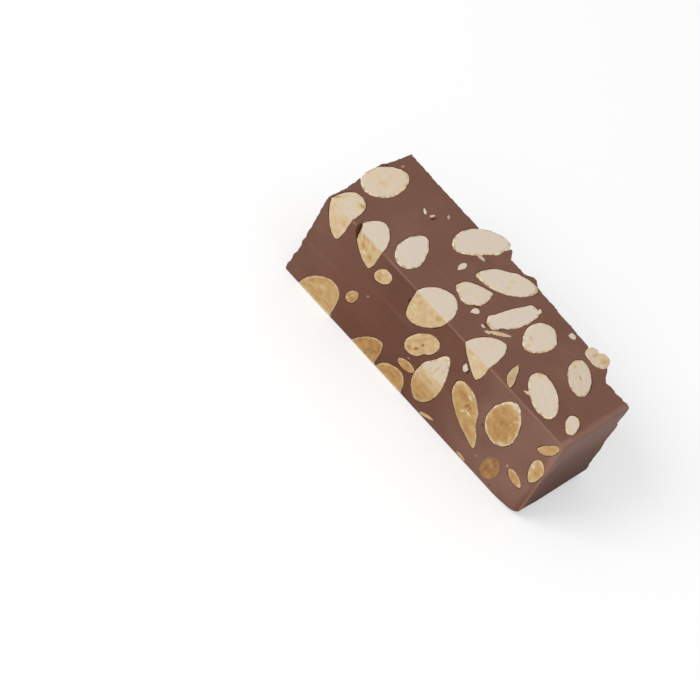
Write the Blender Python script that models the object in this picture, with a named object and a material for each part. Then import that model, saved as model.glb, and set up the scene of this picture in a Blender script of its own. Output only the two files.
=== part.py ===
"""Bar of chocolate nougat with whole almonds, cut flush on its long faces.

Lengths are in millimetres while the shapes are worked out. The meshes are
stored in metres with the origin at the bottom centre of the whole bar.

u runs along the bar, from the rough cut end to the smooth moulded end.
v runs from the front face to the back face, and z runs up.
"""
import math
from collections import namedtuple

import bmesh
import bpy

# The block of chocolate
BAR_LENGTH = 112.3
BAR_WIDTH = 39.8
BAR_HEIGHT = 38.7
TOP_END_ROUND = 1.8
BOTTOM_END_ROUND = 4.2
BOTTOM_EDGE_CUT = 0.5
NOTCH_START = 96.5
NOTCH_END = 101.0
NOTCH_WIDTH_LEFT = 33.2
END_BULGE = 1.5
END_BULGE_V = 23.0
START_OUT = 0.3
BURR_HEIGHT = 7.0

# Fit between almonds and chocolate
GAP = 0.3
LIFT = 0.8
OUTLINE_POINTS = 14
CORNER_POINTS = 7
CORNER_STEPS = 3
CELLS_WIDE = 7
CELLS_HIGH = 7

MM = 0.001

# An almond cut by one face. across and up place it on that face.
# The narrow end points along angle. taper narrows that end, point sharpens it.
# belly fills one side more than the other, and bend curves the long axis.
Cut = namedtuple("Cut", "across up length width angle taper point belly bend depth")

# An almond cut by two faces that meet at an edge. It spans start to end on
# the edge. Each face has its own tip and reach, and a roundness to each side.
Corner = namedtuple("Corner", "start end over_a over_b")
Tongue = namedtuple("Tongue", "tip reach round_start round_end")

TOP_CUTS = {
    "almond_top_01": Cut(4.4, 22.9, 19.6, 12.0, 83, 0.10, 0.1, 0.00, 0.0, 5.0),
    "almond_top_02": Cut(30.2, 10.6, 17.6, 9.6, 105, 0.20, 0.2, -0.05, 0.0, 4.4),
    "almond_top_03": Cut(39.2, 35.2, 22.0, 10.8, 67, 0.05, 0.1, 0.05, -1.3, 5.2),
    "almond_top_04": Cut(55.3, 32.0, 21.6, 10.4, 47, 0.00, 0.5, 0.00, 0.0, 4.6),
    "almond_top_05": Cut(53.4, 17.6, 12.4, 9.6, 66, 0.42, 0.2, -0.08, 0.0, 4.0),
    "almond_top_06": Cut(66.4, 23.1, 21.6, 7.2, 78, 0.00, 0.1, 0.00, 1.0, 5.2),
    "almond_top_07": Cut(77.0, 25.1, 15.8, 10.4, 275, 0.18, 0.1, 0.00, 0.0, 4.6),
    "almond_top_08": Cut(83.2, 5.3, 10.0, 3.0, 116, 0.15, 0.4, 0.00, -0.7, 2.4),
    "almond_top_09": Cut(93.9, 9.3, 18.4, 10.2, -36, 0.04, 0.1, 0.00, 0.0, 4.6),
    "almond_top_10": Cut(95.2, 26.3, 15.4, 8.4, -49, 0.06, 0.1, 0.00, 0.3, 3.9),
    "almond_top_11": Cut(107.1, 9.5, 8.6, 4.6, -62, 0.10, 0.0, 0.00, 0.0, 2.6),
    "almond_top_12": Cut(92.5, 38.1, 8.8, 7.2, 14, -0.12, -0.6, 0.05, 0.0, 4.0),
}

FRONT_CUTS = {
    "almond_front_01": Cut(24.5, 14.2, 6.6, 3.8, 70, 0.20, 0.2, 0.00, 0.0, 2.2),
    "almond_front_02": Cut(29.9, 31.1, 7.8, 5.3, 52, -0.10, 0.0, 0.00, 0.0, 2.8),
    "almond_front_03": Cut(53.6, 22.8, 16.0, 7.7, 57, 0.00, -0.3, 0.00, 0.0, 3.8),
    "almond_front_04": Cut(52.9, 10.8, 7.2, 3.8, 14, 0.00, 0.0, 0.00, 0.0, 2.0),
    "almond_front_05": Cut(62.6, 15.6, 25.0, 10.4, 85, 0.30, 0.4, -0.08, 0.0, 4.8),
    "almond_front_06": Cut(79.2, 16.0, 23.4, 9.6, -47, 0.50, 0.2, -0.06, 0.3, 4.6),
    "almond_front_07": Cut(91.1, 26.3, 20.4, 12.2, 88, 0.22, 0.2, 0.00, 0.0, 5.0),
    "almond_front_08": Cut(108.2, 32.7, 9.4, 3.4, 55, 0.00, 0.0, 0.00, 0.6, 2.0),
    "almond_front_09": Cut(108.6, 21.4, 10.6, 5.0, 274, 0.20, 0.2, 0.10, 0.0, 2.6),
    "almond_front_10": Cut(104.4, 12.3, 7.0, 3.7, -20, 0.05, 0.1, 0.00, 0.0, 2.0),
    "almond_front_11": Cut(95.8, 7.2, 11.6, 7.2, 80, 0.05, 0.0, 0.00, 0.0, 3.6),
}

BACK_CUTS = {
    "almond_back_01": Cut(8.0, 12.0, 18.4, 10.2, 70, 0.15, 0.2, 0.00, 0.0, 4.6),
    "almond_back_02": Cut(19.0, 28.0, 17.0, 9.6, 20, 0.10, 0.3, 0.05, 0.0, 4.4),
    "almond_back_03": Cut(27.0, 10.5, 16.4, 7.2, 118, 0.20, 0.2, 0.00, 0.6, 4.0),
    "almond_back_04": Cut(45.0, 19.0, 21.0, 11.2, 82, 0.15, 0.2, 0.00, 0.0, 4.8),
    "almond_back_05": Cut(59.0, 26.5, 13.6, 8.4, 12, 0.25, 0.2, 0.00, 0.0, 3.8),
    "almond_back_06": Cut(62.0, 11.0, 19.0, 9.4, 152, 0.10, 0.3, 0.00, 0.0, 4.4),
    "almond_back_07": Cut(78.0, 23.5, 22.0, 11.4, 105, 0.18, 0.2, 0.00, 0.0, 4.8),
    "almond_back_08": Cut(88.0, 8.5, 14.6, 8.0, 25, 0.15, 0.1, 0.00, 0.0, 3.8),
}

BOTTOM_CUTS = {
    "almond_bottom_01": Cut(13.0, 25.0, 18.6, 10.4, 62, 0.12, 0.2, 0.00, 0.0, 4.6),
    "almond_bottom_02": Cut(30.0, 20.0, 18.4, 9.2, 20, 0.10, 0.3, 0.05, 0.0, 4.2),
    "almond_bottom_03": Cut(46.5, 27.5, 16.4, 9.0, 98, 0.18, 0.1, 0.00, 0.0, 4.2),
    "almond_bottom_04": Cut(68.0, 14.0, 19.4, 10.2, 130, 0.15, 0.2, 0.00, 0.0, 4.6),
    "almond_bottom_05": Cut(72.5, 31.0, 14.0, 7.0, 12, 0.10, 0.2, 0.00, 0.6, 3.6),
    "almond_bottom_06": Cut(87.5, 21.5, 20.8, 10.8, 75, 0.16, 0.1, 0.00, 0.0, 4.8),
    "almond_bottom_07": Cut(101.0, 12.5, 11.0, 7.2, 20, 0.15, 0.1, 0.00, 0.0, 3.4),
}

END_CUTS = {
    "almond_end_01": Cut(12.5, 13.0, 15.6, 8.2, 60, 0.15, 0.2, 0.00, 0.0, 3.6),
    "almond_end_02": Cut(26.0, 11.0, 13.4, 8.4, 125, 0.20, 0.1, 0.00, 0.0, 3.6),
    "almond_end_03": Cut(21.5, 25.5, 14.6, 7.0, 12, 0.12, 0.2, 0.00, 0.0, 3.4),
}

# Face a is the top and face b is the front
UPPER_CORNERS = {
    "almond_edge_01": Corner(0.6, 10.8, Tongue(5.6, 10.4, 2.6, 2.3), Tongue(8.4, 11.8, 1.5, 3.0)),
    "almond_edge_02": Corner(13.2, 25.4, Tongue(17.8, 10.0, 2.1, 1.6), Tongue(23.2, 10.0, 1.5, 3.2)),
    "almond_edge_03": Corner(42.2, 56.8, Tongue(50.0, 10.3, 1.9, 1.9), Tongue(46.0, 12.3, 3.6, 1.5)),
    "almond_edge_04": Corner(65.2, 76.9, Tongue(72.6, 12.6, 1.8, 1.9), Tongue(74.6, 8.5, 1.2, 2.4)),
}

# Face a is the front and face b is the bottom
LOWER_CORNERS = {
    "almond_edge_05": Corner(6.0, 21.4, Tongue(16.6, 12.4, 1.6, 3.2), Tongue(12.6, 8.0, 2.0, 2.0)),
    "almond_edge_06": Corner(32.5, 43.2, Tongue(41.0, 9.8, 1.4, 3.2), Tongue(37.4, 7.0, 2.0, 2.0)),
    "almond_edge_07": Corner(44.1, 56.2, Tongue(52.4, 7.0, 1.7, 1.9), Tongue(50.4, 8.6, 2.0, 2.0)),
}

PALE_CREAM = (0.72, 0.60, 0.43, 1.0)
ROASTED_GOLD = (0.55, 0.35, 0.14, 1.0)
MILK_CHOCOLATE = (0.178, 0.082, 0.052, 1.0)


def smooth(x, low, high):
    t = min(1.0, max(0.0, (x - low) / (high - low)))
    return t * t * (3.0 - 2.0 * t)


def bump(x, centre, half):
    t = min(1.0, abs(x - centre) / half)
    return (1.0 - t * t) ** 2


# ---------------------------------------------------------------- the block

def back_edge(u, z):
    """How far back the chocolate reaches at this place along the bar."""
    high = smooth(z, BAR_HEIGHT - 12.0, BAR_HEIGHT)
    wave = -0.45 * bump(u, 24.0, 20.0) + 0.45 * bump(u, 55.0, 22.0)
    wave -= 1.1 * smooth(u, 68.0, 90.0)
    burr = 2.0 * bump(u, 59.0, 3.6) + 3.4 * bump(u, 46.2, 3.0)
    near_top = smooth(z, BAR_HEIGHT - BURR_HEIGHT, BAR_HEIGHT)
    full = BAR_WIDTH + wave * high + burr * near_top
    ragged = 0.5 * math.sin(0.55 * z) + 1.4 * (1.0 - z / BAR_HEIGHT)
    short = NOTCH_WIDTH_LEFT + ragged
    return full + (short - full) * smooth(u, NOTCH_START, NOTCH_END)


def start_end(v, z):
    """The rough cut end, with a bulge where an almond crosses it."""
    near_top = smooth(z, BAR_HEIGHT - 14.0, BAR_HEIGHT)
    bulge = -END_BULGE * bump(v, END_BULGE_V, 13.0) * near_top
    near_rim = max(1.0 - bump(z, BAR_HEIGHT / 2.0, BAR_HEIGHT / 2.0), 0.0)
    bulge -= START_OUT
    return bulge - 0.45 * math.sin(0.42 * z + 0.3) * (1.0 - bump(v, 20.0, 20.0)) * near_rim


def along_stations():
    plain = [2.5, 6.0, 11.0, 17.0, 24.0, 31.0, 37.0, 42.0, 44.4, 46.2, 48.0, 51.0]
    plain += [55.0, 57.2, 59.0, 60.8, 63.5, 69.0, 75.0, 81.0, 87.0, 92.0]
    plain += [96.5, 98.7, 101.0, 104.5]
    last = BAR_LENGTH - BOTTOM_END_ROUND
    rounding = [last + BOTTOM_END_ROUND * math.sin(math.radians(a)) for a in (0, 35, 60, 78)]
    return [0.0] + plain + rounding + [BAR_LENGTH]


def rounded_drop(u, radius):
    """How far a rounded edge has dropped away at u, near the moulded end."""
    inside = u - (BAR_LENGTH - radius)
    if inside <= 0.0:
        return 0.0
    inside = min(inside, radius * 0.98)
    return radius - math.sqrt(radius * radius - inside * inside)


def block_point(u, j, k):
    low = rounded_drop(u, BOTTOM_END_ROUND)
    high = BAR_HEIGHT - rounded_drop(u, TOP_END_ROUND)
    z = low + (high - low) * k / CELLS_HIGH
    reach = back_edge(u, z)
    v = reach * j / CELLS_WIDE
    if k == 0 and j == 0:
        v = BOTTOM_EDGE_CUT
    if k == 0 and j == CELLS_WIDE:
        v = reach - BOTTOM_EDGE_CUT
    if u == 0.0:
        u = start_end(v, z)
    return (u, v, z)


def block_shape():
    """Corner points and faces of the block, as a lattice of its outside."""
    stations = along_stations()
    last = len(stations) - 1
    points = []
    place = {}
    for i, u in enumerate(stations):
        for j in range(CELLS_WIDE + 1):
            for k in range(CELLS_HIGH + 1):
                inside = 0 < i < last and 0 < j < CELLS_WIDE and 0 < k < CELLS_HIGH
                if inside:
                    continue
                place[(i, j, k)] = len(points)
                points.append(block_point(u, j, k))
    faces = []
    for i in range(last):
        for j in range(CELLS_WIDE):
            for k in (0, CELLS_HIGH):
                faces.append([place[c] for c in ((i, j, k), (i + 1, j, k), (i + 1, j + 1, k), (i, j + 1, k))])
        for k in range(CELLS_HIGH):
            for j in (0, CELLS_WIDE):
                faces.append([place[c] for c in ((i, j, k), (i + 1, j, k), (i + 1, j, k + 1), (i, j, k + 1))])
    for j in range(CELLS_WIDE):
        for k in range(CELLS_HIGH):
            for i in (0, last):
                faces.append([place[c] for c in ((i, j, k), (i, j + 1, k), (i, j + 1, k + 1), (i, j, k + 1))])
    return points, faces


# -------------------------------------------------------------- the almonds

def outline(cut, grow):
    """The almond's cut outline, as (along, side) about its own middle."""
    half_long = cut.length / 2.0 + grow
    half_wide = cut.width / 2.0 + grow
    ring = []
    for n in range(OUTLINE_POINTS):
        t = 2.0 * math.pi * (n + 0.5) / OUTLINE_POINTS
        s = math.cos(t)
        side = math.sin(t) * (1.0 - cut.taper * s)
        side *= 1.0 - cut.point * abs(s) ** 3 * 0.5
        side *= 1.0 + math.copysign(cut.belly, side)
        ring.append((half_long * s, half_wide * side + cut.bend * (s * s - 0.5)))
    return ring


def on_face(face, across, up, inward):
    """A place on a face, sunk inward from it, as (u, v, z)."""
    if face == "top":
        return (across, up, BAR_HEIGHT - inward)
    if face == "front":
        return (across, inward, up)
    if face == "back":
        return (across, BAR_WIDTH - inward, up)
    if face == "bottom":
        return (across, up, inward)
    return (inward, across, up)


def cut_shape(face, cut, grow, lift):
    """An almond with a flat cut side on a face and a round underside."""
    flat = outline(cut, grow)
    turn = math.radians(cut.angle)
    deep = cut.depth + grow
    levels = [(0.0, 1.0), (0.5 * deep, 0.93), (0.88 * deep, 0.62)]
    if lift > 0.0:
        levels.insert(0, (-lift, 1.0))
    points = []
    faces = []
    for inward, scale in levels:
        for along, side in flat:
            x = scale * (along * math.cos(turn) - side * math.sin(turn))
            y = scale * (along * math.sin(turn) + side * math.cos(turn))
            points.append(on_face(face, cut.across + x, cut.up + y, inward))
    points.append(on_face(face, cut.across, cut.up, deep))
    count = OUTLINE_POINTS
    faces.append(list(range(count)))
    for ring in range(len(levels) - 1):
        for n in range(count):
            m = (n + 1) % count
            faces.append([ring * count + n, ring * count + m, (ring + 1) * count + m, (ring + 1) * count + n])
    base = (len(levels) - 1) * count
    for n in range(count):
        faces.append([base + n, base + (n + 1) % count, len(points) - 1])
    return points, faces


def tongue_outline(start, end, over, grow):
    """Half of an almond's outline, standing on an edge of the bar."""
    start -= grow
    end += grow
    reach = over.reach + grow
    line = []
    for n in range(1, CORNER_POINTS + 1):
        t = math.pi * n / (CORNER_POINTS + 1)
        first_half = math.cos(t) > 0.0
        roundness = over.round_start if first_half else over.round_end
        c = abs(math.cos(t)) ** (2.0 / roundness)
        s = math.sin(t) ** (2.0 / roundness)
        side = start if first_half else end
        line.append((over.tip + (side - over.tip) * c, reach * s))
    return line


def on_edge(edge, u, out_a, out_b):
    """A place near an edge: out_a runs over face a, out_b over face b."""
    if edge == "upper":
        return (u, out_a, BAR_HEIGHT - out_b)
    return (u, out_b, out_a)


def corner_shape(edge, corner, grow, lift):
    """An almond cut by two faces: flat on both, and round inside."""
    over_a = tongue_outline(corner.start, corner.end, corner.over_a, grow)
    over_b = tongue_outline(corner.start, corner.end, corner.over_b, grow)
    rings = []
    for step in range(CORNER_STEPS + 1):
        phi = 0.5 * math.pi * step / CORNER_STEPS
        mix = step / CORNER_STEPS
        ring = []
        for (ua, ra), (ub, rb) in zip(over_a, over_b):
            u = ua + (ub - ua) * mix
            r = ra + (rb - ra) * mix
            ring.append(on_edge(edge, u, r * math.cos(phi), r * math.sin(phi)))
        rings.append(ring)
    points = [
        on_edge(edge, corner.start - grow, 0.0, 0.0),
        on_edge(edge, corner.end + grow, 0.0, 0.0),
    ]
    where = []
    for ring in rings:
        where.append(list(range(len(points), len(points) + len(ring))))
        points += ring
    faces = []
    for low, high in zip(where[:-1], where[1:]):
        faces.append([0, low[0], high[0]])
        faces.append([1, high[-1], low[-1]])
        for n in range(len(low) - 1):
            faces.append([low[n], low[n + 1], high[n + 1], high[n]])
    if lift <= 0.0:
        faces.append([0] + where[0] + [1])
        faces.append([0] + where[-1] + [1])
        return points, faces
    outer = len(points)
    points.append(on_edge(edge, corner.start - grow, -lift, -lift))
    points.append(on_edge(edge, corner.end + grow, -lift, -lift))
    above = list(range(len(points), len(points) + len(over_a)))
    points += [on_edge(edge, u, r, -lift) for u, r in over_a]
    beside = list(range(len(points), len(points) + len(over_b)))
    points += [on_edge(edge, u, -lift, r) for u, r in over_b]
    for near, far in ((where[0], above), (where[-1], beside)):
        faces.append([outer, far[0], near[0], 0])
        faces.append([outer + 1, far[-1], near[-1], 1])
        for n in range(len(near) - 1):
            faces.append([near[n], near[n + 1], far[n + 1], far[n]])
        faces.append([outer] + far + [outer + 1])
    return points, faces


# ------------------------------------------------------------ making objects

def clear_scene():
    for item in list(bpy.data.objects):
        bpy.data.objects.remove(item, do_unlink=True)


def make_material(name, colour, roughness):
    material = bpy.data.materials.new(name)
    material.use_nodes = True
    shader = material.node_tree.nodes["Principled BSDF"]
    shader.inputs["Base Color"].default_value = colour
    shader.inputs["Roughness"].default_value = roughness
    return material


def make_object(name, shape, centre, material, collection):
    points, faces = shape
    shell = bmesh.new()
    corners = [shell.verts.new([(p[a] - centre[a]) * MM for a in range(3)]) for p in points]
    for face in faces:
        shell.faces.new([corners[n] for n in face])
    bmesh.ops.recalc_face_normals(shell, faces=shell.faces)
    mesh = bpy.data.meshes.new(name)
    shell.to_mesh(mesh)
    shell.free()
    item = bpy.data.objects.new(name, mesh)
    if material:
        mesh.materials.append(material)
    collection.objects.link(item)
    return item


def almond_list():
    """Every almond as (name, make, place, sizes, looks)."""
    rows = []
    for face, cuts in (("top", TOP_CUTS), ("front", FRONT_CUTS), ("back", BACK_CUTS),
                       ("bottom", BOTTOM_CUTS), ("end", END_CUTS)):
        golden = face in ("front", "back", "end")
        for name, cut in cuts.items():
            rows.append((name, cut_shape, face, cut, golden))
    for edge, corners in (("upper", UPPER_CORNERS), ("lower", LOWER_CORNERS)):
        for name, corner in corners.items():
            rows.append((name, corner_shape, edge, corner, edge == "lower"))
    return rows


def bottom_centre(shapes):
    low = [min(p[a] for points, _ in shapes for p in points) for a in range(3)]
    high = [max(p[a] for points, _ in shapes for p in points) for a in range(3)]
    return ((low[0] + high[0]) / 2.0, (low[1] + high[1]) / 2.0, low[2])


def main():
    clear_scene()
    parts = bpy.data.collections.new("nougat_bar")
    cutters = bpy.data.collections.new("pocket_cutters")
    bpy.context.scene.collection.children.link(parts)
    bpy.context.scene.collection.children.link(cutters)

    block = block_shape()
    almonds = almond_list()
    solids = {row[0]: row[1](row[2], row[3], 0.0, 0.0) for row in almonds}
    centre = bottom_centre([block] + list(solids.values()))

    chocolate = make_object("chocolate", block, centre, None, parts)
    chocolate.data.materials.append(make_material("chocolate", MILK_CHOCOLATE, 0.42))

    for name, make, place, sizes, golden in almonds:
        looks = make_material(name, ROASTED_GOLD if golden else PALE_CREAM, 0.5)
        make_object(name, solids[name], centre, looks, parts)
        pocket = make_object(name + "_pocket", make(place, sizes, GAP, LIFT), centre, None, cutters)
        pocket.hide_render = True
        pocket.display_type = "WIRE"
        cut = chocolate.modifiers.new("pocket_" + name, "BOOLEAN")
        cut.operation = "DIFFERENCE"
        cut.solver = "EXACT"
        cut.object = pocket


main()
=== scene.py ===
import math
from collections import namedtuple

import bmesh
import bpy
import numpy as np
from mathutils import Matrix, Vector, noise


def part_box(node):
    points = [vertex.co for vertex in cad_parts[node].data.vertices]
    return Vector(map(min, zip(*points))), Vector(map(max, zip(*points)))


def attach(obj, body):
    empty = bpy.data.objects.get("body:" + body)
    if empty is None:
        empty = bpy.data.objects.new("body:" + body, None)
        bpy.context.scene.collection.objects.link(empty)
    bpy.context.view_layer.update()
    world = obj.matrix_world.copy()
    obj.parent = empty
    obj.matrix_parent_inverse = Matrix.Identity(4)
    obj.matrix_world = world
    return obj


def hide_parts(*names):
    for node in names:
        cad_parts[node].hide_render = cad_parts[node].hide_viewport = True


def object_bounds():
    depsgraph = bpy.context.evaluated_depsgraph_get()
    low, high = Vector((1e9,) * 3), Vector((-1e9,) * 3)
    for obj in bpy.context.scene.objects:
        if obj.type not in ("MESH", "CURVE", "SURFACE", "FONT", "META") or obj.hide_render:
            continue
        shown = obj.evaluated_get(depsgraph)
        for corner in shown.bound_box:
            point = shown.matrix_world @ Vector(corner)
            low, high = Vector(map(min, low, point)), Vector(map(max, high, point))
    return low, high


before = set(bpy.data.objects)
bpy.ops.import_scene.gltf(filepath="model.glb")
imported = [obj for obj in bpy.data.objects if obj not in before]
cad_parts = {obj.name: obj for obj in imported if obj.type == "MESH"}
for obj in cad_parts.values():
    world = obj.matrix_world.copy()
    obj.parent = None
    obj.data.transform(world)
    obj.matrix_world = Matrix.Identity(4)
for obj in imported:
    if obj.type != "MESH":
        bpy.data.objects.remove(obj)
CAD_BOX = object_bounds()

# Looks for a bar of chocolate nougat with whole almonds.
# Shapes are worked out in millimetres: u along the bar from the rough cut end,
# v from the front face to the back, z up. Places come from the CAD nodes.

MM = 0.001
BAR_LENGTH = 112.3
BAR_WIDTH = 39.8
BAR_HEIGHT = 38.7

LOW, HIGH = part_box("chocolate")
START_X = HIGH[0] - BAR_LENGTH * MM
FRONT_Y = LOW[1]
ORIGIN = np.array((START_X, FRONT_Y, 0.0))
INSIDE = 2e-5
ON_FACE = 0.02
CURVE_STEPS = 12


# Helpers

def smooth(x, low, high):
    t = np.clip((np.asarray(x, dtype=float) - low) / (high - low), 0.0, 1.0)
    return t * t * (3.0 - 2.0 * t)


def bump(x, centre, half):
    t = np.clip(np.abs(np.asarray(x, dtype=float) - centre) / half, 0.0, 1.0)
    return (1.0 - t * t) ** 2


def rough(points, size, seed):
    """Smooth noise from -1 to 1 at each point, with lumps of this size in mm."""
    shift = Vector((17.3 * seed, 5.1 * seed, 9.7 * seed))
    return np.array([noise.noise(Vector(p) / size + shift) for p in points])


def to_world(points):
    """World places in metres, kept just inside the CAD's box."""
    world = np.asarray(points, dtype=float) * MM + ORIGIN
    return np.clip(world, np.array(CAD_BOX[0]) + INSIDE, np.array(CAD_BOX[1]) - INSIDE)


def to_bar(points):
    return (np.asarray(points, dtype=float) - ORIGIN) / MM


def make_object(name, points, faces, material):
    mesh = bpy.data.meshes.new(name)
    mesh.from_pydata(to_world(points).tolist(), [], faces)
    mesh.validate()
    item = bpy.data.objects.new(name, mesh)
    if material:
        mesh.materials.append(material)
    bpy.context.scene.collection.objects.link(item)
    return item


def face_outward(item):
    shell = bmesh.new()
    shell.from_mesh(item.data)
    bmesh.ops.remove_doubles(shell, verts=shell.verts, dist=1e-6)
    bmesh.ops.recalc_face_normals(shell, faces=shell.faces)
    shell.to_mesh(item.data)
    shell.free()


def shade(item, angle):
    mesh = item.data
    mesh.shade_smooth()
    mesh.set_sharp_from_angle(angle=math.radians(angle))


# Faces of the bar

# For each face: which of a, b and inward give u, v and z, and where the face
# is along the axis that inward runs back from, if it isn't at 0
FACES = {
    "top": ((0, 1, 2), BAR_HEIGHT),
    "front": ((0, 2, 1), None),
    "back": ((0, 2, 1), BAR_WIDTH),
    "bottom": ((0, 1, 2), None),
    "end": ((2, 0, 1), None),
}


def on_face(face, a, b, inward):
    order, far = FACES[face]
    inward = np.asarray(inward, dtype=float)
    columns = np.broadcast_arrays(a, b, inward if far is None else far - inward)
    return np.stack([columns[k] for k in order], axis=-1)


def off_face(face, points):
    """The same places as (a, b, inward)."""
    order, far = FACES[face]
    columns = np.asarray(points, dtype=float)[:, np.argsort(order)]
    if far is not None:
        columns[:, 2] = far - columns[:, 2]
    return columns


def vertex_places(mesh):
    found = np.empty(len(mesh.vertices) * 3)
    mesh.vertices.foreach_get("co", found)
    return to_bar(found.reshape(-1, 3))


def node_points(node):
    return np.unique(np.round(vertex_places(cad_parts[node].data), 4), axis=0)


def between(a, b, c, d):
    """A smooth run of points from b up to, but not with, c."""
    t = np.linspace(0.0, 1.0, CURVE_STEPS, endpoint=False)[:, None]
    return 0.5 * (2 * b + (c - a) * t + (2 * a - 5 * b + 4 * c - d) * t**2 + (3 * b - a - 3 * c + d) * t**3)


def closed_curve(points, count):
    """A smooth closed curve through points, as evenly spaced samples."""
    p = np.asarray(points)
    fine = np.vstack([between(*(p[(i + k) % len(p)] for k in (-1, 0, 1, 2))) for i in range(len(p))])
    return resample(np.vstack((fine, fine[:1])), count + 1)[:-1]


def open_curve(points, count):
    """A smooth curve through points, from the first to the last."""
    p = np.asarray(points)
    p = np.vstack((2 * p[0] - p[1], p, 2 * p[-1] - p[-2]))
    fine = np.vstack([between(*p[i - 1:i + 3]) for i in range(1, len(p) - 2)])
    return resample(np.vstack((fine, p[-2:-1])), count)


def resample(line, count):
    step = np.linalg.norm(np.diff(line, axis=0), axis=1)
    run = np.concatenate(([0.0], np.cumsum(step)))
    want = np.linspace(0.0, run[-1], count)
    return np.stack([np.interp(want, run, line[:, k]) for k in range(line.shape[1])], axis=-1)


# What each almond shows

# A spot, streak, pit or ridge on a cut face: its place on the face, its size
# and turn, how much darker it is, and how deep it is (below 0 it is raised).
# Some pale raised marks are painted glints, and the darkest marks in deep dents
# are partly painted shade in their pits. Each row of the two tables below is one
# such mark.
Mark = namedtuple("Mark", "across up length width angle tone dent")

TOP_MARKS = {
    "almond_top_01": [
        (5.3, 21.6, 5.0, 4.0, 0, 0.12, 0), (2.2, 16.5, 1.6, 0.8, 60, 0.10, 0.05),
    ],
    "almond_top_02": [
        (30.6, 4.4, 4.6, 2.6, 20, 0.14, 0), (33.5, 8.5, 1.2, 5.0, -15, -0.05, -0.04),
    ],
    "almond_top_03": [
        (37.0, 37.5, 3.0, 1.0, 60, 0.08, 0.05), (39.5, 31.0, 6.0, 0.7, 70, 0.05, 0.04),
    ],
    "almond_top_04": [
        (55.2, 28.6, 3.4, 2.6, 10, -0.10, -0.12), (56.0, 33.8, 4.0, 2.4, 60, 0.18, 0),
        (57.3, 30.6, 2.6, 1.2, -40, 0.20, 0.06), (52.6, 29.6, 0.7, 3.4, 10, 0.14, 0.06),
    ],
    "almond_top_05": [
        (50.8, 14.5, 4.0, 1.8, -10, 0.08, 0), (56.6, 17.5, 1.6, 5.0, 5, 0.10, 0),
    ],
    "almond_top_06": [
        (66.4, 24.0, 16.0, 0.6, 80, 0.08, 0.05), (68.4, 25.0, 12.0, 0.5, 84, -0.06, -0.04),
    ],
    "almond_top_07": [
        (75.6, 22.4, 2.8, 2.0, -30, 0.26, 0.06), (77.2, 19.6, 3.0, 2.0, 0, 0.20, 0.05),
        (76.6, 31.2, 2.0, 1.8, 0, 0.10, 0), (78.0, 26.5, 9.0, 0.5, 92, 0.07, 0.05),
    ],
    "almond_top_08": [
        (83.8, 3.2, 4.4, 1.8, -60, 0.12, 0),
    ],
    "almond_top_09": [
        (87.6, 13.8, 3.4, 2.4, 30, 0.18, 0), (97.4, 12.6, 7.0, 1.0, -38, -0.10, -0.08),
        (90.6, 6.6, 2.2, 1.2, -40, 0.16, 0.06), (94.0, 9.6, 13.0, 0.5, -36, 0.06, 0.04),
    ],
    "almond_top_10": [
        (95.3, 26.8, 2.8, 1.2, -38, 0.48, 0.30), (91.3, 28.2, 2.0, 1.6, -50, 0.22, 0.08),
        (95.5, 27.6, 5.0, 2.6, -48, -0.08, -0.04),
    ],
    "almond_top_11": [
        (105.0, 11.4, 1.6, 2.0, 30, -0.08, -0.06),
    ],
    "almond_top_12": [
        (94.9, 39.4, 4.6, 3.2, 75, 0.26, -0.10), (91.5, 38.4, 4.0, 1.2, 85, 0.20, 0.25),
    ],
    "almond_edge_01": [
        (8.3, 7.7, 3.2, 2.2, 15, 0.50, 0.06), (2.4, 5.4, 5.0, 2.0, 70, 0.14, 0),
        (5.6, 4.0, 4.0, 2.6, 80, -0.04, 0), (1.2, 2.2, 3.4, 1.6, 65, 0.45, 0.04),
    ],
    "almond_edge_02": [
        (20.4, 8.0, 2.0, 1.2, 10, 0.06, 0.05),
    ],
    "almond_edge_03": [
        (50.0, 9.2, 3.4, 1.0, 5, 0.06, 0), (54.6, 3.6, 1.0, 4.0, 10, 0.08, 0),
    ],
    "almond_edge_04": [
        (73.4, 11.4, 2.0, 1.4, 0, -0.06, 0), (70.4, 2.4, 1.2, 2.0, 0, 0.14, 0.05),
    ],
}

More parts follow.
